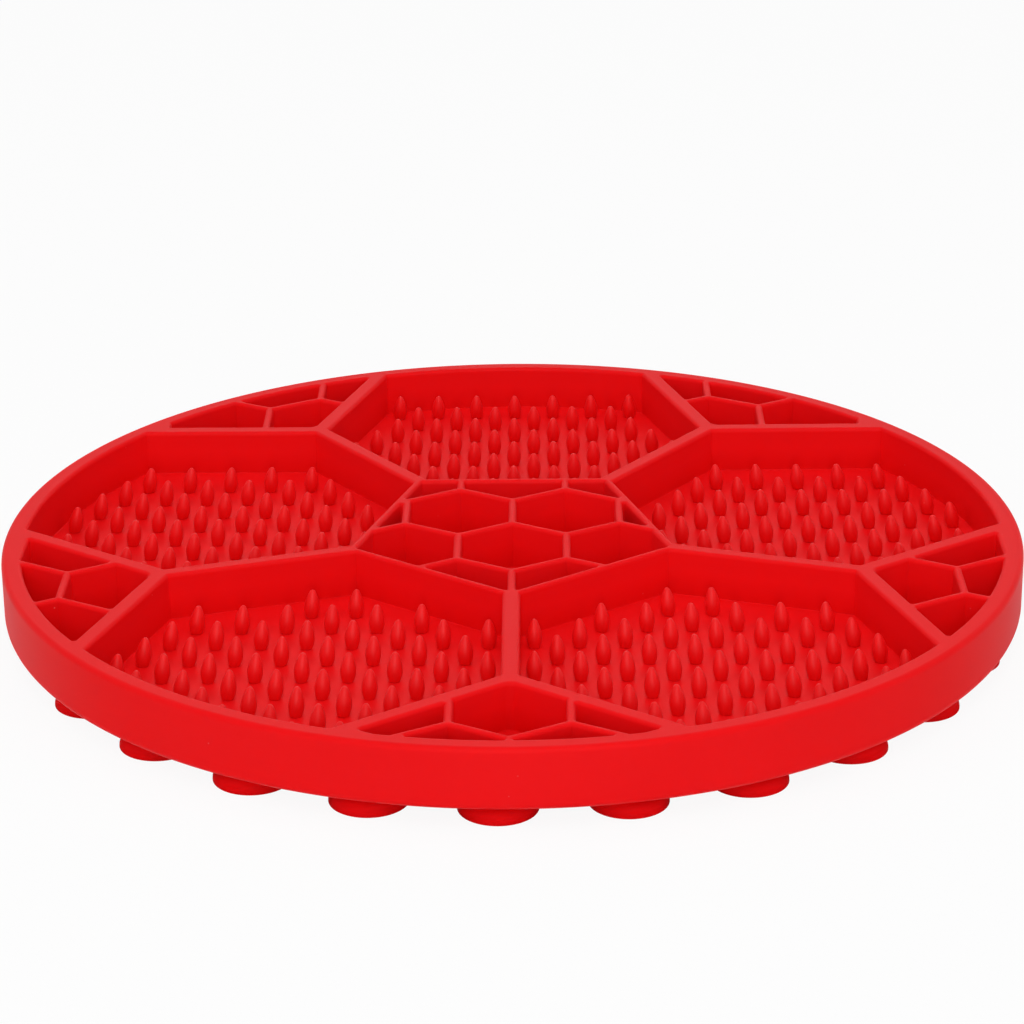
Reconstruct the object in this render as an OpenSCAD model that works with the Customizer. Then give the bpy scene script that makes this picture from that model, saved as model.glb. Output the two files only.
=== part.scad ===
// A round silicone lick mat: a thin floor inside a raised rim, divided by a centre
// pentagon, five spokes and five forks. The forks and the pentagon hold honeycomb cells,
// the five pockets between them hold short licking nubs, and a ring of small suction
// cups under the edge holds the mat to a floor or a wall. The lips of the cups lie on
// z = 0 and the front of the mat is on the -Y side.

/* [Body] */
// Outer diameter of the mat
mat_d = 200.5; // [170:0.5:230]
// Height of the mat above its suction cups
body_h = 12; // [11:0.1:15]
// Thickness of the floor under the pockets
floor_t = 2.7; // [2:0.1:3.5]
// Thickness of the rim
rim_t = 3.85; // [2.6:0.05:5]
// Radius of the rounded bottom outer edge
bottom_edge_r = 1.5; // [0.4:0.1:2]
// Radius of the rim's rounded outer top edge
rim_edge_r = 1; // [0.3:0.1:1.4]
// Radius of the rim's rounded inner top edge
rim_inner_edge_r = 0.4; // [0.2:0.1:0.8]

/* [Dividing walls] */
// From the mat's centre to the pentagon's corners, on the wall's centreline
pentagon_r = 32.85; // [29:0.05:36]
// Thickness of the pentagon's wall
pentagon_t = 1.56; // [1.2:0.02:2.4]
// Thickness of the spokes
spoke_t = 3.35; // [2.4:0.05:4.2]
// From the mat's edge to the point where a spoke forks
fork_inset = 29.55; // [24:0.05:34]
// Angle in degrees between a spoke's line and each divider of its fork
fork_angle = 53.6; // [48:0.1:60]
// Thickness of the dividers
divider_t = 3.5; // [2.6:0.05:4.4]
// Radius of the rounded corner inside each fork
fork_corner_r = 2; // [0.6:0.1:3]

/* [Honeycomb] */
// Distance from one cell's centre to the next
cell_pitch = 21.35; // [18:0.05:26]
// Thickness of the walls between the cells
cell_wall_t = 1.56; // [1.2:0.02:2.4]

/* [Licking nubs] */
// Distance from one nub to the next
nub_pitch = 8.6; // [7.6:0.05:11]
// Height of a nub above the floor
nub_h = 5.6; // [4:0.1:6.4]
// Widest diameter of a nub
nub_d = 3; // [2:0.1:3.4]
// Lean in degrees, towards the mat's centre, of a nub that would stand at the mat's edge
nub_lean = 12; // [0:0.5:16]
// Least distance from a nub's centre to a wall
nub_gap = 2; // [1.8:0.1:4]
// Least distance, along Y, from a nub's centre to a dividing wall behind it
nub_back_gap = 5.3; // [2:0.1:7]
// Thickness of the slice of floor that carries the nubs
nub_slice_t = 0.5; // [0.4:0.1:0.8]

/* [Suction cups] */
// Diameter of a cup's lip
cup_d = 14.4; // [11:0.1:16]
// Height of a cup, from its lip to the underside of the mat
cup_h = 3.8; // [3.4:0.1:6]
// From the mat's edge to the cups' centres
cup_inset = 9.25; // [8.2:0.05:14]
// Turn in degrees of the ring of cups from the mat's front
cup_turn = -1.3; // [-7:0.1:7]
// Width of the flat ring on which a cup rests
cup_lip_w = 1; // [0.6:0.1:1.6]
// Height of the upright edge above the lip
cup_edge_h = 0.3; // [0.2:0.1:1.4]
// Depth of the hollow inside a cup
cup_hollow_h = 2.1; // [1.2:0.1:2.4]
// Diameter of the neck on which a cup hangs
cup_neck_d = 9.2; // [7:0.1:10.4]
// Length of the neck
cup_neck_h = 1; // [0.6:0.1:1.4]

/* [Hidden] */
fork_count = 5;
cup_count = 25;
silicone = "#D8161C";

$fn = 96;
nub_fn = 20;
cup_fn = 48;

// Clearance at the outer end of a dividing wall, where it meets the rim's round inside
end_gap = 0.05;
// Overrun of every cut
overrun = 1;

mat_r = mat_d / 2;
rim_inner_r = mat_r - rim_t;
fork_r = mat_r - fork_inset;
underside_z = cup_h;
floor_z = underside_z + floor_t;
top_z = underside_z + body_h;
wall_h = top_z - floor_z;
fork_step = 360 / fork_count;
front_angle = 270;

// Where a spoke's side meets the pentagon's outer face, and where it meets a divider
pentagon_mid = pentagon_r * cos(fork_step / 2);
pentagon_outer = pentagon_mid + pentagon_t / 2;
pentagon_inner = pentagon_mid - pentagon_t / 2;
spoke_start = pentagon_outer / cos(fork_step / 2) - spoke_t / 2 * tan(fork_step / 2);
fork_offset = divider_t / 2 / sin(fork_angle);
spoke_end = fork_r - fork_offset + spoke_t / 2 / tan(fork_angle);
fork_inside = fork_r + fork_offset;
divider_run = [cos(fork_angle), sin(fork_angle)] * mat_r;

// A cell's corner radius, and the distance from one row of cells to the next
cell_corner_r = (cell_pitch - cell_wall_t) / 2 / cos(30);
cell_row = cell_pitch * cos(30);
cell_reach = ceil(mat_d / cell_pitch);

nub_row = nub_pitch * cos(30);
nub_reach = ceil(mat_r / nub_row);
nub_root = nub_slice_t / 2;
// A nub's outline: shares of its height, with shares of its widest radius
nub_outline_shares = [[0, 0.8], [0.13, 0.94], [0.29, 1], [0.5, 0.94], [0.72, 0.77], [0.9, 0.55], [1, 0.2]];

cup_r = cup_d / 2;
cup_neck_r = cup_neck_d / 2;
cup_hollow_r = cup_r - cup_lip_w;
cup_sphere_r = (pow(cup_hollow_r, 2) + pow(cup_hollow_h, 2)) / (2 * cup_hollow_h);
cup_shoulder_h = cup_h - cup_edge_h - cup_neck_h;
cup_shoulder_steps = 5;

function cup_name(k) = str("suction_cup_", k < 10 ? "0" : "", k);
function polar(r, a) = [r * cos(a), r * sin(a)];
function turned(p, a) = [p[0] * cos(a) - p[1] * sin(a), p[0] * sin(a) + p[1] * cos(a)];
function flipped(p) = [p[0], -p[1]];
function spoke_angle(k) = front_angle + fork_step * (k - 1);

// Plans of the spaces between the walls, with their own spoke along +X
spoke_side = spoke_t / 2;
pocket_near = [spoke_start, spoke_side];
pocket_mid = [spoke_end, spoke_side];
pocket_far = pocket_mid + divider_run;
pocket_plan = [
    pocket_near,
    pocket_mid,
    pocket_far,
    turned(flipped(pocket_far), fork_step),
    turned(flipped(pocket_mid), fork_step),
    turned(flipped(pocket_near), fork_step)
];
fork_tip = [fork_inside, 0];
fork_plan = [fork_tip, fork_tip + flipped(divider_run), fork_tip + divider_run];
divider_plan = [[spoke_end, 0], fork_tip, fork_tip + divider_run, pocket_far, pocket_mid];

// The walls round pocket k, each as its direction into the pocket and its distance from
// the mat's centre along that direction
function pocket_walls(k) = [
    [polar(1, spoke_angle(k) + fork_step / 2), pentagon_outer],
    [polar(1, spoke_angle(k) + 90), spoke_side],
    [polar(1, spoke_angle(k + 1) - 90), spoke_side],
    [polar(1, spoke_angle(k) + fork_angle + 90), divider_t / 2 - fork_r * sin(fork_angle)],
    [polar(1, spoke_angle(k + 1) - fork_angle - 90), divider_t / 2 - fork_r * sin(fork_angle)]
];
function wall_room(p, wall) = p * wall[0] - wall[1] - max(nub_gap, -wall[0][1] * nub_back_gap);
function nub_fits(p, k) =
    norm(p) < rim_inner_r - nub_gap && min([for (wall = pocket_walls(k)) wall_room(p, wall)]) > 0;
function is_odd(i) = abs(i) % 2;
function nub_place(i, j) = [nub_pitch * (i + is_odd(j) / 2), nub_row * j];
function cell_place(i, j) = [cell_pitch * (i + is_odd(j) / 2), cell_row * (j - 1 / 2)];

// A block of a plan that stands on the floor inside the rim
module standing(plan) {
    translate([0, 0, floor_z]) intersection() {
        linear_extrude(height = wall_h) polygon(plan);
        cylinder(r = rim_inner_r - end_gap, h = wall_h);
    }
}

module at_spoke(k) {
    rotate([0, 0, spoke_angle(k)]) children();
}

module cell(place) {
    translate([place[0], place[1], floor_z - overrun])
        rotate([0, 0, 30])
            cylinder(r = cell_corner_r, h = wall_h + 2 * overrun, $fn = 6);
}

// The cells that reach within a circle round a point
module cells_near(centre, reach) {
    for (i = [-cell_reach:cell_reach]) {
        for (j = [-cell_reach:cell_reach]) {
            if (norm(cell_place(i, j) - centre) < reach + cell_corner_r) cell(cell_place(i, j));
        }
    }
}

module pentagon_prism(inradius, from_z, h) {
    translate([0, 0, from_z])
        rotate([0, 0, front_angle])
            cylinder(r = inradius / cos(fork_step / 2), h = h, $fn = fork_count);
}

// The slice of floor under pocket k, which may rise past the floor as a cut
module nub_slice(k, outer_r, rise) {
    at_spoke(k) translate([0, 0, floor_z - nub_slice_t]) intersection() {
        linear_extrude(height = nub_slice_t + rise) polygon(pocket_plan);
        cylinder(r = outer_r, h = nub_slice_t + rise);
    }
}

module nub(p) {
    radius = nub_d / 2;
    outline = [for (share = nub_outline_shares) [share[1] * radius, share[0] * nub_h]];
    foot = [[0, nub_h], [0, -nub_root], [outline[0][0], -nub_root]];
    translate([p[0], p[1], floor_z])
        rotate([0, 0, atan2(p[1], p[0])])
            rotate([0, -nub_lean * norm(p) / mat_r, 0])
                rotate_extrude($fn = nub_fn) polygon(concat(foot, outline));
}

module base_disc() {
    color(silicone) difference() {
        translate([0, 0, underside_z]) rotate_extrude() {
            square([mat_r - bottom_edge_r, floor_t]);
            translate([0, bottom_edge_r]) square([mat_r, floor_t - bottom_edge_r]);
            translate([mat_r - bottom_edge_r, bottom_edge_r]) intersection() {
                circle(r = bottom_edge_r);
                translate([-bottom_edge_r, -bottom_edge_r]) square([2 * bottom_edge_r, bottom_edge_r]);
            }
        }
        for (k = [1:fork_count]) nub_slice(k, rim_inner_r, overrun);
    }
}

module outer_rim() {
    color(silicone) rotate_extrude() {
        translate([rim_inner_r, floor_z]) square([rim_t, wall_h - rim_edge_r]);
        translate([rim_inner_r + rim_inner_edge_r, floor_z])
            square([rim_t - rim_inner_edge_r - rim_edge_r, wall_h]);
        translate([rim_inner_r, floor_z])
            square([rim_t - rim_edge_r, wall_h - rim_inner_edge_r]);
        translate([mat_r - rim_edge_r, top_z - rim_edge_r]) circle(r = rim_edge_r);
        translate([rim_inner_r + rim_inner_edge_r, top_z - rim_inner_edge_r]) circle(r = rim_inner_edge_r);
    }
}

// The pentagon's corners are cut flat where the spokes butt against them
module centre_pentagon() {
    color(silicone) difference() {
        pentagon_prism(pentagon_outer, floor_z, wall_h);
        pentagon_prism(pentagon_inner, floor_z - overrun, wall_h + 2 * overrun);
        for (k = [1:fork_count]) {
            at_spoke(k) translate([spoke_start, -spoke_t, floor_z - overrun])
                cube([spoke_t, 2 * spoke_t, wall_h + 2 * overrun]);
        }
    }
}

module centre_honeycomb() {
    color(silicone) difference() {
        pentagon_prism(pentagon_inner, floor_z, wall_h);
        cells_near([0, 0], pentagon_r);
    }
}

module spoke(k) {
    color(silicone) at_spoke(k)
        translate([spoke_start, -spoke_side, floor_z])
            cube([spoke_end - spoke_start, spoke_t, wall_h]);
}

module right_divider(k) {
    color(silicone) at_spoke(k) standing(divider_plan);
}

module left_divider(k) {
    color(silicone) at_spoke(k) mirror([0, 1, 0]) standing(divider_plan);
}

// Honeycomb inside fork k, with the rounded corner that fills the fork's sharp inside
module rim_honeycomb(k) {
    region_reach = (mat_r - fork_r) / cos(fork_angle) / 2;
    region_centre = polar((mat_r + fork_r) / 2, spoke_angle(k));
    corner_run = fork_corner_r / tan(fork_angle);
    corner_side = polar(corner_run, fork_angle);
    corner_centre = fork_corner_r / sin(fork_angle);
    color(silicone) {
        difference() {
            at_spoke(k) standing(fork_plan);
            cells_near(region_centre, region_reach);
        }
        at_spoke(k) translate([fork_inside, 0, floor_z]) difference() {
            linear_extrude(height = wall_h)
                polygon([[0, 0], flipped(corner_side), [corner_centre, 0], corner_side]);
            translate([corner_centre, 0, -overrun]) cylinder(r = fork_corner_r, h = wall_h + 2 * overrun);
        }
    }
}

module nub_field(k) {
    color(silicone) {
        nub_slice(k, rim_inner_r - end_gap, 0);
        for (i = [-nub_reach:nub_reach]) {
            for (j = [-nub_reach:nub_reach]) {
                if (nub_fits(nub_place(i, j), k)) nub(nub_place(i, j));
            }
        }
    }
}

module suction_cup(k) {
    shoulder = [for (step = [0:cup_shoulder_steps]) polar(1, 90 * step / cup_shoulder_steps)];
    shoulder_outline = [
        for (p = shoulder)
            [cup_neck_r + (cup_r - cup_neck_r) * p[0], cup_edge_h + cup_shoulder_h * p[1]]
    ];
    base = [[0, cup_h], [0, 0], [cup_r, 0]];
    color(silicone)
        rotate([0, 0, front_angle + cup_turn + 360 / cup_count * (k - 1)])
            translate([mat_r - cup_inset, 0, 0])
                difference() {
                    rotate_extrude($fn = cup_fn)
                        polygon(concat(base, shoulder_outline, [[cup_neck_r, cup_h]]));
                    translate([0, 0, cup_hollow_h - cup_sphere_r]) sphere(r = cup_sphere_r, $fn = $fn);
                }
}

base_disc();
outer_rim();
centre_pentagon();
centre_honeycomb();
for (k = [1:fork_count]) {
    spoke(k);
    left_divider(k);
    right_divider(k);
    rim_honeycomb(k);
    nub_field(k);
}
for (k = [1:cup_count]) {
    suction_cup(k);
}
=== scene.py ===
import math

import bmesh
import bpy
from mathutils import Matrix, Vector


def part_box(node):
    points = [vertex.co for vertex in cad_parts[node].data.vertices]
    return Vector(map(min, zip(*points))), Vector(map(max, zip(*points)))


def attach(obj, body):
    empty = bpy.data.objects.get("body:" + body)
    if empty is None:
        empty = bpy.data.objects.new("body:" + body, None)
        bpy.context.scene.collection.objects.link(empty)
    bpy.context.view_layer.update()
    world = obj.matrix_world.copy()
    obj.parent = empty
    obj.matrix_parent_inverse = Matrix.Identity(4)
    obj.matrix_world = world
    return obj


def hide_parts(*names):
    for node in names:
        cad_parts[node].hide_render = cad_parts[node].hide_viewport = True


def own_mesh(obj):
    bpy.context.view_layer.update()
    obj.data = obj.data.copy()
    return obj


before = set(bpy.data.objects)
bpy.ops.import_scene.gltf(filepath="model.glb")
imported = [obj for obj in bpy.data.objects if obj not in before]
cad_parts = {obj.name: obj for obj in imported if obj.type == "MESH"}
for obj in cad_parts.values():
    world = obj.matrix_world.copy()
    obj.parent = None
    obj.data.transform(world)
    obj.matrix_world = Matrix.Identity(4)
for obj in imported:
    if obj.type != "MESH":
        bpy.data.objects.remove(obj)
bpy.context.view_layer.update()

# Moulded body
# One open tray of silicone: a floor, a raised rim and the walls between the pockets.
# It is one moulding, so every wall runs into the next one with no seam, and every edge
# is a little round.
MM = 0.001

body_low, body_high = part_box("base_disc")
wall_low, wall_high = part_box("outer_rim")
spoke_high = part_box("spoke_1")[1]
mat_r = wall_high.x
under_z = body_low.z
floor_z = wall_low.z
top_z = wall_high.z
spoke_side = spoke_high.x

rim_t = 3.85 * MM
pentagon_r = 32.85 * MM
pentagon_t = 1.56 * MM
fork_r = mat_r - 29.55 * MM
fork_angle = math.radians(53.6)
divider_t = 3.5 * MM
cell_pitch = 21.35 * MM
cell_wall_t = 1.56 * MM
fork_corner_r = 2 * MM

lip_r = 0.7 * MM
foot_r = 0.15 * MM
corner_r = 0.35 * MM
rim_edge_r = 1.0 * MM
bottom_edge_r = 1.5 * MM
flat_margin = 0.06 * MM
pocket_rim_spread = math.radians(40)
fork_rim_spread = math.radians(30)

fork_count = 5
fork_step = 2 * math.pi / fork_count
front_angle = math.radians(270)
rim_inner_r = mat_r - rim_t
pentagon_mid = pentagon_r * math.cos(fork_step / 2)
rim_segments = 360


def polar(r, angle):
    return Vector((r * math.cos(angle), r * math.sin(angle)))


def spoke_angle(k):
    return front_angle + fork_step * k


def half_plane(angle, reach, kind="wall"):
    """All points within reach of the mat's centre along a direction."""
    return {"n": polar(1, angle), "d": reach, "kind": kind}


def crossing(a, b, grow=0.0):
    """The point where the edges of two half planes cross, with both moved out by grow."""
    det = a["n"].x * b["n"].y - a["n"].y * b["n"].x
    da = a["d"] + grow
    db = b["d"] + grow
    return Vector(((da * b["n"].y - db * a["n"].y) / det, (db * a["n"].x - da * b["n"].x) / det))


def cut(outline, plane):
    """Clips a convex outline of (corner, half plane of the edge that starts there)."""
    kept = []
    for i, (here, edge) in enumerate(outline):
        there = outline[(i + 1) % len(outline)][0]
        here_out = here.dot(plane["n"]) - plane["d"]
        there_out = there.dot(plane["n"]) - plane["d"]
        if here_out <= 0:
            kept.append((here, edge))
        if here_out * there_out < 0:
            middle = here.lerp(there, here_out / (here_out - there_out))
            kept.append((middle, plane if here_out < 0 else edge))
    return kept


def region(planes):
    """The half planes that bound a convex region, in order round it."""
    size = 4 * mat_r
    box = [half_plane(math.radians(90 * i), size) for i in range(4)]
    outline = [(crossing(box[i - 1], box[i]), box[i]) for i in range(4)]
    for plane in planes:
        outline = cut(outline, plane)
        if len(outline) < 3:
            return []
    return outline


rim_planes = [
    half_plane(2 * math.pi * i / rim_segments, rim_inner_r, "rim") for i in range(rim_segments)
]


def near_rim_planes(angle, spread):
    """The rim's planes within an angle of a direction."""
    def turn(i):
        return (2 * math.pi * i / rim_segments - angle + math.pi) % (2 * math.pi) - math.pi
    return [plane for i, plane in enumerate(rim_planes) if abs(turn(i)) < spread]


def pocket_planes(k):
    first = spoke_angle(k)
    last = spoke_angle(k + 1)
    divider_reach = fork_r * math.sin(fork_angle) - divider_t / 2
    return [
        half_plane(first + fork_step / 2 + math.pi, -(pentagon_mid + pentagon_t / 2)),
        half_plane(first - math.pi / 2, -spoke_side),
        half_plane(last + math.pi / 2, -spoke_side),
        half_plane(first + fork_angle - math.pi / 2, divider_reach),
        half_plane(last - fork_angle + math.pi / 2, divider_reach),
    ] + near_rim_planes(first + fork_step / 2, pocket_rim_spread)


def fork_planes(k):
    divider_reach = -fork_r * math.sin(fork_angle) - divider_t / 2
    return [
        half_plane(spoke_angle(k) + fork_angle + math.pi / 2, divider_reach, "fork"),
        half_plane(spoke_angle(k) - fork_angle - math.pi / 2, divider_reach, "fork"),
    ] + near_rim_planes(spoke_angle(k), fork_rim_spread)


def cell_planes(place):
    return [
        half_plane(
            math.radians(60 * i),
            (cell_pitch - cell_wall_t) / 2 + place.dot(polar(1, math.radians(60 * i))),
        )
        for i in range(6)
    ]


def cell_places():
    row = cell_pitch * math.cos(math.radians(30))
    reach = math.ceil(2 * mat_r / cell_pitch)
    for j in range(-reach, reach + 1):
        for i in range(-reach, reach + 1):
            place = Vector((cell_pitch * (i + j % 2 / 2), row * (j - 0.5)))
            if place.length < mat_r + cell_pitch:
                yield place


def area(outline):
    corners = [corner for corner, edge in outline]
    return sum(a.cross(b) for a, b in zip(corners, corners[1:] + corners[:1])) / 2


least_edge = 0.25 * MM
least_area = 3 * MM * MM
pentagon_planes = [
    half_plane(spoke_angle(k) + fork_step / 2, pentagon_mid - pentagon_t / 2)
    for k in range(fork_count)
]

wells = []
for k in range(fork_count):
    wells.append(region(pocket_planes(k)))
for planes in [pentagon_planes] + [fork_planes(k) for k in range(fork_count)]:
    for place in cell_places():
        outline = region(cell_planes(place) + planes)
        if len(outline) > 2 and area(outline) > least_area:
            wells.append(outline)


def without_short_edges(outline):
    """Leaves out edges too short to round, so that their neighbours meet instead."""
    planes = [edge for corner, edge in outline]
    while True:
        corners = [crossing(planes[i - 1], planes[i]) for i in range(len(planes))]
        lengths = [(corners[(i + 1) % len(planes)] - corners[i]).length for i in range(len(planes))]
        shortest = min(range(len(planes)), key=lambda i: lengths[i])
        if lengths[shortest] > least_edge or len(planes) < 4:
            return planes, lengths
        planes.pop(shortest)


def bend(a, b):
    """The angle that an outline turns by from one half plane to the next."""
    return math.atan2(a["n"].cross(b["n"]), a["n"].dot(b["n"]))


def corner_radii(planes, lengths):
    """Each corner's radius in plan, made smaller where the edges beside it are short."""
    count = len(planes)
    radii = []
    for i in range(count):
        is_fork = planes[i - 1]["kind"] == "fork" and planes[i]["kind"] == "fork"
        radii.append(fork_corner_r if is_fork else corner_r)
    smooth_bend = math.radians(5)
    bends = [bend(planes[i - 1], planes[i]) for i in range(count)]
    radii = [r if b > smooth_bend else None for r, b in zip(radii, bends)]
    spare_share = 0.9
    for _ in range(count):
        for i in range(count):
            j = (i + 1) % count
            used = [(radii[c] or 0) * math.tan(bends[c] / 2) for c in (i, j)]
            if sum(used) > lengths[i] * spare_share:
                shrink = lengths[i] * spare_share / sum(used)
                for c in (i, j):
                    if radii[c]:
                        radii[c] *= shrink
    return radii, bends


corner_steps = 5
lip_steps = 4
edge_steps = 6
# The foot's radius as a share of the tightest corner in plan, which it has to fit in
foot_corner_share = 0.8
# How far the floor's inner ring lies in from the foot, as a share of the way to the middle
inner_ring_share = 0.02


def well_loop(planes, radii, bends, grow):
    """Points of a well's outline with round corners, moved out by grow."""
    points = []
    for i in range(len(planes)):
        if radii[i] is None:
            points.append(crossing(planes[i - 1], planes[i], grow))
            continue
        centre = crossing(planes[i - 1], planes[i], -radii[i])
        start = math.atan2(planes[i - 1]["n"].y, planes[i - 1]["n"].x)
        for step in range(corner_steps + 1):
            points.append(centre + polar(radii[i] + grow, start + bends[i] * step / corner_steps))
    return points


def quarter(steps):
    return [math.pi / 2 * step / steps for step in range(steps + 1)]


def add_loop(bm, points, z):
    return [bm.verts.new((p.x, p.y, z)) for p in points]


def bridge(bm, upper, lower, faces_in):
    """Quads between two loops. Both run anticlockwise seen from above."""
    for i in range(len(upper)):
        j = (i + 1) % len(upper)
        ring = [upper[i], upper[j], lower[j], lower[i]]
        bm.faces.new(ring if faces_in else ring[::-1])


def add_well(bm, outline):
    """Cuts a well with a rounded lip and foot, and returns the loop at its top."""
    planes, lengths = without_short_edges(outline)
    radii, bends = corner_radii(planes, lengths)
    foot = min([foot_r] + [foot_corner_share * r for r in radii if r])
    profile = [(lip_r + flat_margin, top_z)]
    profile += [
        (lip_r * (1 - math.sin(a)), top_z - lip_r * (1 - math.cos(a))) for a in quarter(lip_steps)
    ]
    profile += [(0, top_z - lip_r - 2 * flat_margin), (0, floor_z + foot + 2 * flat_margin)]
    profile += [
        (-foot * (1 - math.cos(a)), floor_z + foot * (1 - math.sin(a))) for a in quarter(lip_steps)
    ]
    loops = [add_loop(bm, well_loop(planes, radii, bends, grow), z) for grow, z in profile]
    for upper, lower in zip(loops, loops[1:]):
        bridge(bm, upper, lower, True)
    centre = sum((v.co for v in loops[-1]), Vector()) / len(loops[-1])
    # A ring just inside the foot keeps the shading of the flat floor even
    inner = [bm.verts.new(v.co.lerp(centre, inner_ring_share)) for v in loops[-1]]
    bridge(bm, loops[-1], inner, True)
    middle = bm.verts.new(centre)
    for i in range(len(inner)):
        bm.faces.new((inner[i], inner[(i + 1) % len(inner)], middle))
    return loops[0]


def finished_mesh(bm, name, smooth=True):
    mesh = bpy.data.meshes.new(name)
    bm.to_mesh(mesh)
    bm.free()
    mesh.shade_smooth() if smooth else mesh.shade_flat()
    piece = bpy.data.objects.new(name, mesh)
    bpy.context.scene.collection.objects.link(piece)
    return piece


bm = bmesh.new()
top_loops = [add_well(bm, outline) for outline in wells]

outer_profile = [(mat_r - rim_edge_r - flat_margin, top_z)]
outer_profile += [
    (mat_r - rim_edge_r * (1 - math.sin(a)), top_z - rim_edge_r * (1 - math.cos(a)))
    for a in quarter(edge_steps)
]
outer_profile += [
    (mat_r, top_z - rim_edge_r - 2 * flat_margin),
    (mat_r, under_z + bottom_edge_r + 2 * flat_margin),
]
outer_profile += [
    (mat_r - bottom_edge_r * (1 - math.cos(a)), under_z + bottom_edge_r * (1 - math.sin(a)))
    for a in quarter(edge_steps)
]
outer_profile += [(mat_r - bottom_edge_r - flat_margin, under_z)]
rim_angles = [2 * math.pi * (i + 0.5) / rim_segments for i in range(rim_segments)]
outer_loops = [add_loop(bm, [polar(r, a) for a in rim_angles], z) for r, z in outer_profile]
for upper, lower in zip(outer_loops, outer_loops[1:]):
    bridge(bm, upper, lower, False)
underside = bm.verts.new((0, 0, under_z))
for i in range(rim_segments):
    bm.faces.new((outer_loops[-1][(i + 1) % rim_segments], outer_loops[-1][i], underside))

# The flat tops of all the walls are one face with the wells as its holes
top_edges = []
for loop in top_loops + [outer_loops[0]]:
    for i in range(len(loop)):
        top_edges.append(bm.edges.get((loop[i - 1], loop[i])))
bmesh.ops.triangle_fill(bm, use_beauty=True, edges=top_edges, normal=(0, 0, 1))
body = finished_mesh(bm, "moulded_body")
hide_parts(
    "base_disc",
    "outer_rim",
    "centre_pentagon",
    "centre_honeycomb",
    *[
        f"{name}_{k + 1}"
        for name in ("spoke", "left_divider", "right_divider", "rim_honeycomb")
        for k in range(fork_count)
    ],
)


def srgb(code):
    """A colour's sRGB hex code as the linear numbers that a shader takes."""
    parts = [int(code[i:i + 2], 16) / 255 for i in (0, 2, 4)]
    return [c / 12.92 if c <= 0.04045 else ((c + 0.055) / 1.055) ** 2.4 for c in parts] + [1.0]


def add_node(tree, kind, settings=None, values=None, links=None):
    """A node with its settings, its sockets' values and what is linked to its sockets."""
    made = tree.nodes.new(kind)
    for key, value in (settings or {}).items():
        setattr(made, key, value)
    for key, value in (values or {}).items():
        made.inputs[key].default_value = value
    for key, source in (links or {}).items():
        tree.links.new(source, made.inputs[key])
    return made


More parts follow.
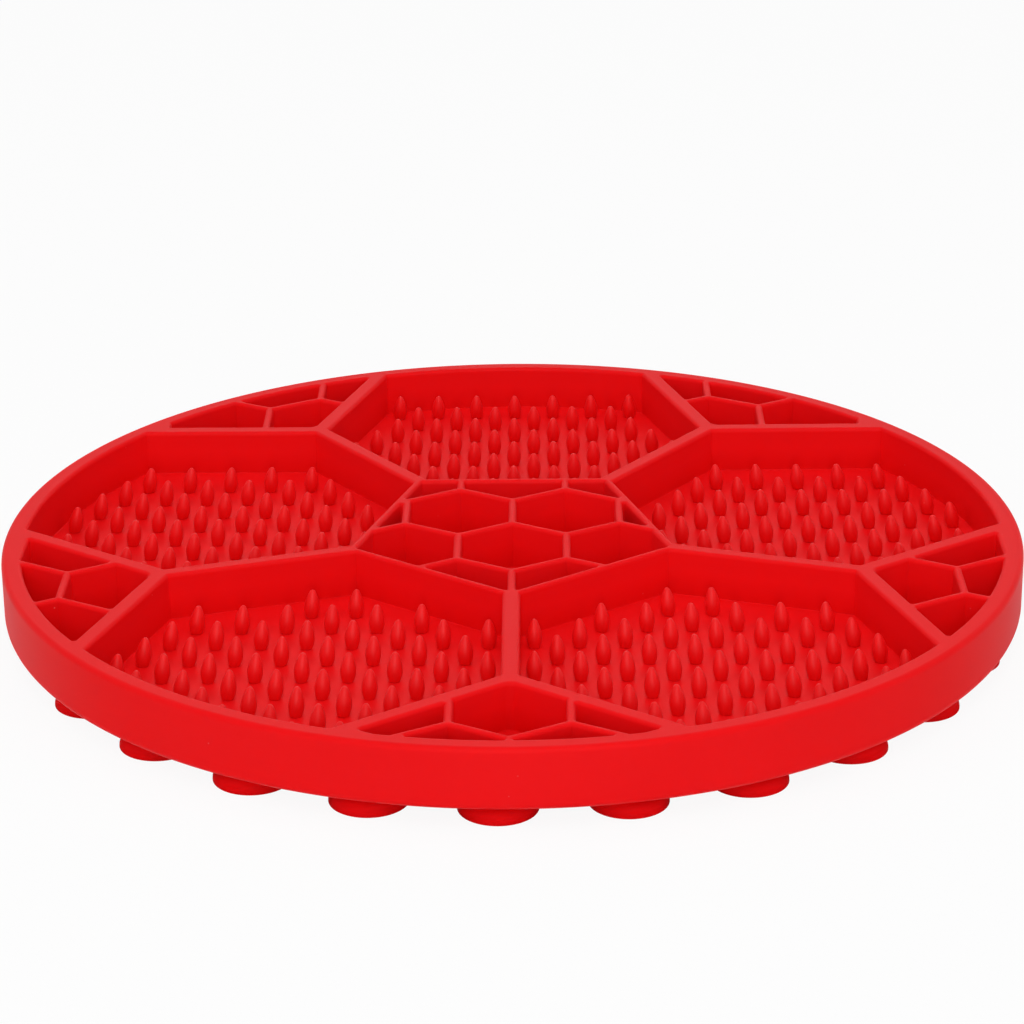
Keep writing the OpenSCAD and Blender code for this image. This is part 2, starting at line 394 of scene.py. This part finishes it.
def silicone_rubber(name, gloss, roughness):
    """Moulded silicone rubber: deep red all through, with a fine matt grain. It takes a
    soft, wide highlight, is a touch translucent and draws pale dust."""
    material = bpy.data.materials.new(name)
    material.use_nodes = True
    tree = material.node_tree
    tree.nodes.clear()
    place = add_node(tree, "ShaderNodeTexCoord").outputs["Object"]
    # Faint clouds of colour about 30 mm across, so that no face is one flat colour
    clouds = add_node(
        tree,
        "ShaderNodeTexNoise",
        values={"Scale": 1 / (30 * MM), "Detail": 2.0},
        links={"Vector": place},
    )
    red = add_node(tree, "ShaderNodeMix", {"data_type": "RGBA"}, links={0: clouds.outputs[0]})
    red.inputs[6].default_value = srgb("EC1015")
    red.inputs[7].default_value = srgb("F41318")
    # A painted shade, not a property of the rubber. Without it the foot of a wall comes out
    # brighter than its middle, and in the photograph it is darker. It lies on every steep
    # face this low, so also on the nubs' lower sides, the cups and the underside, but not
    # on the outer side of the rim
    shade_h = 5 * MM
    height = add_node(tree, "ShaderNodeSeparateXYZ", links={"Vector": place}).outputs["Z"]
    low = add_node(
        tree,
        "ShaderNodeMapRange",
        values={"From Min": floor_z, "From Max": floor_z + shade_h, "To Min": 1.0, "To Max": 0.0},
        links={"Value": height},
    )
    normal = add_node(tree, "ShaderNodeNewGeometry").outputs["Normal"]
    rise = add_node(tree, "ShaderNodeSeparateXYZ", links={"Vector": normal}).outputs["Z"]
    steep = add_node(
        tree,
        "ShaderNodeMapRange",
        values={"From Min": 0.0, "From Max": 0.7, "To Min": 1.0, "To Max": 0.0},
        links={"Value": rise},
    )
    flat_place = add_node(
        tree, "ShaderNodeVectorMath", {"operation": "MULTIPLY"}, {1: (1, 1, 0)}, {0: place}
    ).outputs[0]
    out = add_node(
        tree, "ShaderNodeVectorMath", {"operation": "LENGTH"}, links={0: flat_place}
    ).outputs["Value"]
    inside = add_node(
        tree, "ShaderNodeMath", {"operation": "LESS_THAN"}, {1: mat_r - rim_t / 2}, {0: out}
    ).outputs[0]
    low_wall = add_node(
        tree,
        "ShaderNodeMath",
        {"operation": "MULTIPLY"},
        links={0: low.outputs[0], 1: steep.outputs[0]},
    ).outputs[0]
    sheltered = add_node(
        tree, "ShaderNodeMath", {"operation": "MULTIPLY"}, links={0: low_wall, 1: inside}
    ).outputs[0]
    deep = add_node(
        tree, "ShaderNodeMix", {"data_type": "RGBA"}, links={0: sheltered, 6: red.outputs[2]}
    )
    deep.inputs[7].default_value = srgb("E20B0F")
    # Dust: pale specks up to 0.45 mm across, in a few of the cells of a 5 mm pattern
    dust_cells = add_node(
        tree,
        "ShaderNodeTexVoronoi",
        {"feature": "F1"},
        {"Scale": 1 / (5 * MM), "Randomness": 1.0},
        {"Vector": place},
    )
    speck = add_node(
        tree,
        "ShaderNodeMapRange",
        values={"From Min": 0.02, "From Max": 0.045, "To Min": 1.0, "To Max": 0.0},
        links={"Value": dust_cells.outputs["Distance"]},
    )
    chosen = add_node(
        tree,
        "ShaderNodeMapRange",
        values={"From Min": 0.6, "From Max": 1.0, "To Min": 0.0, "To Max": 0.35},
        links={"Value": dust_cells.outputs["Color"]},
    )
    dust_share = add_node(
        tree,
        "ShaderNodeMath",
        {"operation": "MULTIPLY"},
        links={0: speck.outputs[0], 1: chosen.outputs[0]},
    )
    dusty = add_node(
        tree,
        "ShaderNodeMix",
        {"data_type": "RGBA"},
        links={0: dust_share.outputs[0], 6: deep.outputs[2]},
    )
    dusty.inputs[7].default_value = srgb("F0A8A4")
    # A fine grain breaks up the highlight. It is drawn at 0.3 mm, as a finer one wouldn't show
    grain = add_node(
        tree,
        "ShaderNodeTexNoise",
        values={"Scale": 1 / (0.3 * MM), "Detail": 3.0},
        links={"Vector": place},
    )
    bump = add_node(
        tree,
        "ShaderNodeBump",
        values={"Strength": 0.12, "Distance": 0.05 * MM},
        links={"Height": grain.outputs[0]},
    )
    rough = add_node(
        tree,
        "ShaderNodeMapRange",
        values={"To Min": roughness - 0.02, "To Max": roughness + 0.02},
        links={"Value": clouds.outputs[0]},
    )
    shader = add_node(
        tree,
        "ShaderNodeBsdfPrincipled",
        values={
            "IOR": 1.41,
            "Specular IOR Level": gloss,
            "Subsurface Weight": 0.6,
            "Subsurface Radius": (1.0, 0.25, 0.15),
            "Subsurface Scale": 0.8 * MM,
        },
        links={
            "Base Color": dusty.outputs[2],
            "Roughness": rough.outputs[0],
            "Normal": bump.outputs[0],
        },
    )
    add_node(tree, "ShaderNodeOutputMaterial", links={"Surface": shader.outputs[0]})
    return material


silicone = silicone_rubber("moulded_silicone_rubber", 0.09, 0.5)
body.data.materials.append(silicone)
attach(body, "mat")

# Licking nubs
# Rows of short, round-tipped silicone nubs on the floor of the five pockets, which food
# is spread between. They are moulded with the floor on one pattern over the whole mat,
# and lean towards its centre, the more the further out they stand.
nub_pitch = 8.6 * MM
nub_h = 5.6 * MM
nub_r = 1.5 * MM
nub_lean = math.radians(12)
nub_gap = 2 * MM
nub_back_gap = 5.3 * MM
nub_root = 0.2 * MM
nub_outline_shares = [
    (0.0, 0.74), (0.14, 0.9), (0.32, 1.0), (0.5, 0.95), (0.69, 0.77), (0.84, 0.56), (0.94, 0.38),
    (0.985, 0.2),
]
nub_sides = 12
nub_root_share = 0.7
nub_stray = math.radians(0.8)
# The photograph shows a brighter streak on the nubs than the gloss of the walls gives, so
# theirs is higher. The value was set against the photograph, and the cause isn't known
nub_silicone = silicone_rubber("nub_silicone_rubber", 0.42, 0.5)


def revolved(bm, outline, sides):
    """Turns (radius, height) points, from a point on the axis to another, about Z."""
    rings = []
    for r, z in outline[1:-1]:
        rings.append([bm.verts.new((*polar(r, 2 * math.pi * i / sides), z)) for i in range(sides)])
    first = bm.verts.new((0, 0, outline[0][1]))
    last = bm.verts.new((0, 0, outline[-1][1]))
    for lower, upper in zip(rings, rings[1:]):
        for i in range(sides):
            j = (i + 1) % sides
            bm.faces.new((lower[i], lower[j], upper[j], upper[i]))
    for i in range(sides):
        j = (i + 1) % sides
        bm.faces.new((rings[0][j], rings[0][i], first))
        bm.faces.new((rings[-1][i], rings[-1][j], last))


bm = bmesh.new()
nub_outline = [(0, -nub_root), (nub_root_share * nub_r, -nub_root)]
nub_outline += [(share * nub_r, height * nub_h) for height, share in nub_outline_shares]
nub_outline += [(0, nub_h)]
revolved(bm, nub_outline, nub_sides)
nub = finished_mesh(bm, "nub")


def nub_fits(place, k):
    if place.length > rim_inner_r - nub_gap:
        return False
    for plane in pocket_planes(k):
        if plane["kind"] == "wall":
            room = plane["d"] - place.dot(plane["n"])
            if room < max(nub_gap, plane["n"].y * nub_back_gap):
                return False
    return True


def nub_places(k):
    row = nub_pitch * math.cos(math.radians(30))
    reach = math.ceil(mat_r / row)
    for j in range(-reach, reach + 1):
        for i in range(-reach, reach + 1):
            place = Vector((nub_pitch * (i + j % 2 / 2), row * j))
            if nub_fits(place, k):
                yield place


def nub_field_tree():
    """Puts a nub on every point and leans it towards the mat's centre."""
    tree = bpy.data.node_groups.new("nub_field", "GeometryNodeTree")
    made = tree.interface
    made.new_socket("Geometry", in_out="INPUT", socket_type="NodeSocketGeometry")
    made.new_socket("Nub", in_out="INPUT", socket_type="NodeSocketObject")
    made.new_socket("Lean at the edge", in_out="INPUT", socket_type="NodeSocketFloat")
    made.new_socket("Edge radius", in_out="INPUT", socket_type="NodeSocketFloat")
    made.new_socket("Rubber", in_out="INPUT", socket_type="NodeSocketMaterial")
    made.new_socket("Geometry", in_out="OUTPUT", socket_type="NodeSocketGeometry")
    given = add_node(tree, "NodeGroupInput").outputs
    place = add_node(tree, "GeometryNodeInputPosition").outputs[0]
    flat = add_node(
        tree, "ShaderNodeVectorMath", {"operation": "MULTIPLY"}, {1: (1, 1, 0)}, {0: place}
    ).outputs[0]
    out = add_node(
        tree, "ShaderNodeVectorMath", {"operation": "LENGTH"}, links={0: flat}
    ).outputs["Value"]
    share = add_node(
        tree, "ShaderNodeMath", {"operation": "DIVIDE"}, links={0: out, 1: given["Edge radius"]}
    ).outputs[0]
    lean = add_node(
        tree,
        "ShaderNodeMath",
        {"operation": "MULTIPLY"},
        links={0: share, 1: given["Lean at the edge"]},
    ).outputs[0]
    # Each nub leans a little differently from its neighbours
    stray = add_node(
        tree,
        "FunctionNodeRandomValue",
        {"data_type": "FLOAT"},
        {"Min": -nub_stray, "Max": nub_stray, "Seed": 7},
    )
    angle = add_node(
        tree, "ShaderNodeMath", {"operation": "ADD"}, links={0: lean, 1: stray.outputs["Value"]}
    ).outputs[0]
    axis = add_node(
        tree, "ShaderNodeVectorMath", {"operation": "CROSS_PRODUCT"}, {1: (0, 0, 1)}, {0: flat}
    ).outputs[0]
    turn = add_node(
        tree, "FunctionNodeAxisAngleToRotation", links={"Axis": axis, "Angle": angle}
    ).outputs[0]
    shape = add_node(
        tree, "GeometryNodeObjectInfo", links={"Object": given["Nub"]}
    ).outputs["Geometry"]
    nubs = add_node(
        tree,
        "GeometryNodeInstanceOnPoints",
        links={"Points": given["Geometry"], "Instance": shape, "Rotation": turn},
    ).outputs[0]
    real = add_node(tree, "GeometryNodeRealizeInstances", links={"Geometry": nubs}).outputs[0]
    dressed = add_node(
        tree, "GeometryNodeSetMaterial", links={"Geometry": real, "Material": given["Rubber"]}
    ).outputs[0]
    add_node(tree, "NodeGroupOutput", links={"Geometry": dressed})
    return tree


field_tree = nub_field_tree()
field_inputs = {
    item.name: item.identifier
    for item in field_tree.interface.items_tree
    if item.in_out == "INPUT"
}
for k in range(fork_count):
    bm = bmesh.new()
    for place in nub_places(k):
        bm.verts.new((place.x, place.y, floor_z))
    points = finished_mesh(bm, f"nub_points_{k + 1}")
    grow = points.modifiers.new("nubs", "NODES")
    grow.node_group = field_tree
    grow[field_inputs["Nub"]] = nub
    grow[field_inputs["Lean at the edge"]] = nub_lean
    grow[field_inputs["Edge radius"]] = mat_r
    grow[field_inputs["Rubber"]] = nub_silicone
    seen = points.evaluated_get(bpy.context.evaluated_depsgraph_get())
    field = bpy.data.objects.new(f"nubs_{k + 1}", bpy.data.meshes.new_from_object(seen))
    bpy.context.scene.collection.objects.link(field)
    bpy.data.objects.remove(points)
    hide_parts(f"nub_field_{k + 1}")
    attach(field, "mat")
bpy.data.objects.remove(nub)

# Suction cups
# A ring of small cups of the same rubber under the mat's edge, moulded with it. Each has
# a thin round lip, a shallow hollow and a short neck. A real cup flattens when it is pressed
# on a smooth floor, which pushes the air out from under it; these are drawn unpressed and stiff.
cup_count = 25
cup_h = under_z
cup_r = 7.2 * MM
cup_ring_r = mat_r - 9.25 * MM
cup_turn = math.radians(-1.3)
cup_lip_w = 1.0 * MM
cup_lip_round = 0.2 * MM
cup_edge_h = 0.3 * MM
cup_hollow_h = 2.1 * MM
cup_neck_r = 4.6 * MM
cup_neck_h = 1.0 * MM
cup_flare = 0.35 * MM
cup_sides = 64
cup_hollow_steps = 8
cup_lip_steps = 4
cup_shoulder_steps = 8
cup_flare_steps = 3
# With the gloss of the walls the cups come out a little too pale, so theirs is lower. The
# cause isn't known
cup_silicone = silicone_rubber("cup_silicone_rubber", 0.03, 0.6)


def cup_outline():
    """From the top of the hollow, round the lip and up over the shoulder to the neck."""
    hollow_r = cup_r - cup_lip_w
    sphere_r = (hollow_r ** 2 + cup_hollow_h ** 2) / (2 * cup_hollow_h)
    hollow_angle = math.asin(hollow_r / sphere_r)
    points = []
    for step in range(cup_hollow_steps + 1):
        a = hollow_angle * step / cup_hollow_steps
        points.append((sphere_r * math.sin(a), cup_hollow_h - sphere_r * (1 - math.cos(a))))
    lip_centre = cup_r - cup_lip_round
    points += [
        (lip_centre + cup_lip_round * math.sin(a), cup_lip_round * (1 - math.cos(a)))
        for a in quarter(cup_lip_steps)
    ]
    shoulder_h = cup_h - cup_edge_h - cup_neck_h
    points += [
        (cup_neck_r + (cup_r - cup_neck_r) * math.cos(a), cup_edge_h + shoulder_h * math.sin(a))
        for a in quarter(cup_shoulder_steps)
    ]
    points += [
        (cup_neck_r + cup_flare * (1 - math.cos(a)), cup_h - cup_flare * (1 - math.sin(a)))
        for a in quarter(cup_flare_steps)
    ]
    return points + [(0, cup_h)]


for k in range(cup_count):
    bm = bmesh.new()
    revolved(bm, cup_outline(), cup_sides)
    centre = polar(cup_ring_r, front_angle + cup_turn + 2 * math.pi * k / cup_count)
    bmesh.ops.translate(bm, verts=bm.verts, vec=(centre.x, centre.y, 0))
    cup = finished_mesh(bm, f"suction_cup_{k + 1:02d}_rubber")
    cup.data.materials.append(cup_silicone)
    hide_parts(f"suction_cup_{k + 1:02d}")
    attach(cup, f"cup_{k + 1:02d}")
    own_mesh(cup)

# Studio
# A plain white floor that runs on to the horizon, an even white room and soft lamps. For the
# camera the floor and the room are white, and the floor keeps a shadow.
floor_size = 6.0
white_share = 0.92


def seen_directly(tree):
    """Is 1 for what the camera sees, in a reflection and through glass too."""
    path = add_node(tree, "ShaderNodeLightPath").outputs
    gloss = add_node(
        tree,
        "ShaderNodeMath",
        {"operation": "MAXIMUM"},
        links={0: path["Is Glossy Ray"], 1: path["Is Transmission Ray"]},
    ).outputs[0]
    return add_node(
        tree, "ShaderNodeMath", {"operation": "MAXIMUM"}, links={0: path["Is Camera Ray"], 1: gloss}
    ).outputs[0]


def studio_floor():
    material = bpy.data.materials.new("studio_floor")
    material.use_nodes = True
    tree = material.node_tree
    tree.nodes.clear()
    paper = add_node(tree, "ShaderNodeBsdfDiffuse", values={"Color": srgb("F4F4F4")}).outputs[0]
    white = add_node(tree, "ShaderNodeEmission", values={"Strength": 1.0}).outputs[0]
    share = add_node(
        tree, "ShaderNodeMath", {"operation": "MULTIPLY"}, {1: white_share}, {0: seen_directly(tree)}
    ).outputs[0]
    mixed = add_node(tree, "ShaderNodeMixShader", links={0: share, 1: paper, 2: white}).outputs[0]
    add_node(tree, "ShaderNodeOutputMaterial", links={"Surface": mixed})
    return material


bm = bmesh.new()
bmesh.ops.create_grid(bm, x_segments=1, y_segments=1, size=floor_size / 2)
floor = finished_mesh(bm, "floor", smooth=False)
floor.data.materials.append(studio_floor())

world = bpy.data.worlds.new("studio_room")
world.use_nodes = True
room = world.node_tree
room.nodes.clear()
room_strength = 0.26
seen = seen_directly(room)
strength = add_node(
    room, "ShaderNodeMapRange", values={"To Min": room_strength, "To Max": 1.0}, links={"Value": seen}
).outputs[0]
light = add_node(
    room, "ShaderNodeBackground", values={"Color": (1, 1, 1, 1)}, links={"Strength": strength}
).outputs[0]
add_node(room, "ShaderNodeOutputWorld", links={"Surface": light})
bpy.context.scene.world = world


def softbox(name, place, width, height, watts):
    """A rectangular lamp that faces the mat's centre."""
    lamp = bpy.data.lights.new(name, "AREA")
    lamp.shape = "RECTANGLE"
    lamp.size = width
    lamp.size_y = height
    lamp.energy = watts
    lamp_object = bpy.data.objects.new(name, lamp)
    bpy.context.scene.collection.objects.link(lamp_object)
    facing = (-Vector(place)).to_track_quat("-Z", "Y").to_matrix().to_4x4()
    lamp_object.matrix_world = Matrix.Translation(place) @ facing
    return lamp_object


softbox("tall_front_softbox", (0.0, -0.8, 0.7), 0.18, 1.3, 4.4)
softbox("low_front_softbox", (0.0, -1.2, 0.26), 0.18, 0.5, 1.5)
softbox("back_softbox", (0.0, 1.0, 0.8), 0.7, 0.7, 1.5)
# The top and side lamps only fill the shadows and are kept out of the reflections, which
# can't be done with a real lamp. The side lamps would put a light edge on the nubs that the
# photograph doesn't show. For the top lamp it makes no difference seen from the front
softbox("top_softbox", (0.0, 0.1, 1.25), 0.8, 0.8, 2.6).visible_glossy = False
softbox("left_softbox", (-1.0, -0.3, 0.7), 0.62, 0.62, 1.9).visible_glossy = False
softbox("right_softbox", (1.0, -0.3, 0.7), 0.62, 0.62, 1.6).visible_glossy = False

# Camera
# It looks down at the front of the mat from a little above the table, as the photo does.
# Its place and angles were worked out from the circle and the walls in the photo.
camera_place = (5.3 * MM, -592.0 * MM, 238.35 * MM + top_z)
camera_yaw = math.radians(0.5143)
camera_pitch = math.radians(-21.653)
camera_roll = math.radians(0.5458)
focal_in_pixels = 3221.73
photo_width = 1024

camera_data = bpy.data.cameras.new("camera")
camera_data.sensor_width = 36
camera_data.lens = focal_in_pixels * camera_data.sensor_width / photo_width
camera_data.clip_start = 0.01
camera = bpy.data.objects.new("camera", camera_data)
bpy.context.scene.collection.objects.link(camera)
camera.matrix_world = (
    Matrix.Translation(camera_place)
    @ Matrix.Rotation(camera_yaw, 4, "Z")
    @ Matrix.Rotation(camera_pitch, 4, "X")
    @ Matrix.Rotation(camera_roll, 4, "Y")
    @ Matrix.Rotation(math.radians(90), 4, "X")
)
bpy.context.scene.camera = camera
bpy.context.scene.view_settings.view_transform = "Standard"
